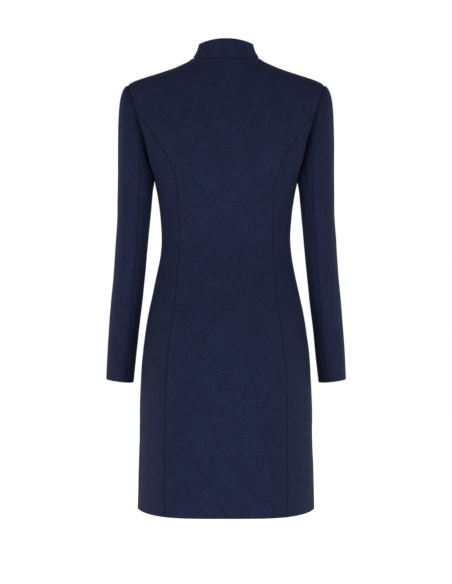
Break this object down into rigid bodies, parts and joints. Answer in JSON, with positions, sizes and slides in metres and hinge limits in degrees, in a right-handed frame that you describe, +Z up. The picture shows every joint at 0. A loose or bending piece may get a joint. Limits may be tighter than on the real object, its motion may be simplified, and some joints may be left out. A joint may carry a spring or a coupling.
{
  "type": "long-sleeved stand-collar coat",
  "caption": "Fitted knee-length coat with long set-in sleeves and a stand collar, shaped seams from the armholes to the hem, held open as when worn.",
  "frame": {"origin": "middle of the neck opening, level with the two points where the shoulder seams meet the collar", "axes": "+Z up, the front faces -Y, the wearer's left is +X"},
  "size_m": [0.4982, 0.2651, 0.9596],
  "materials": {
    "wool": "matte woven wool"
  },
  "bodies": {
    "root": {"back_centre": "wool", "back_side_left": "wool", "back_side_right": "wool", "front_left": "wool", "front_right": "wool", "front_side_left": "wool", "front_side_right": "wool", "sleeve_upper_left": "wool", "sleeve_upper_right": "wool", "sleeve_under_left": "wool", "sleeve_under_right": "wool", "collar": "wool"}
  },
  "joints": []
}
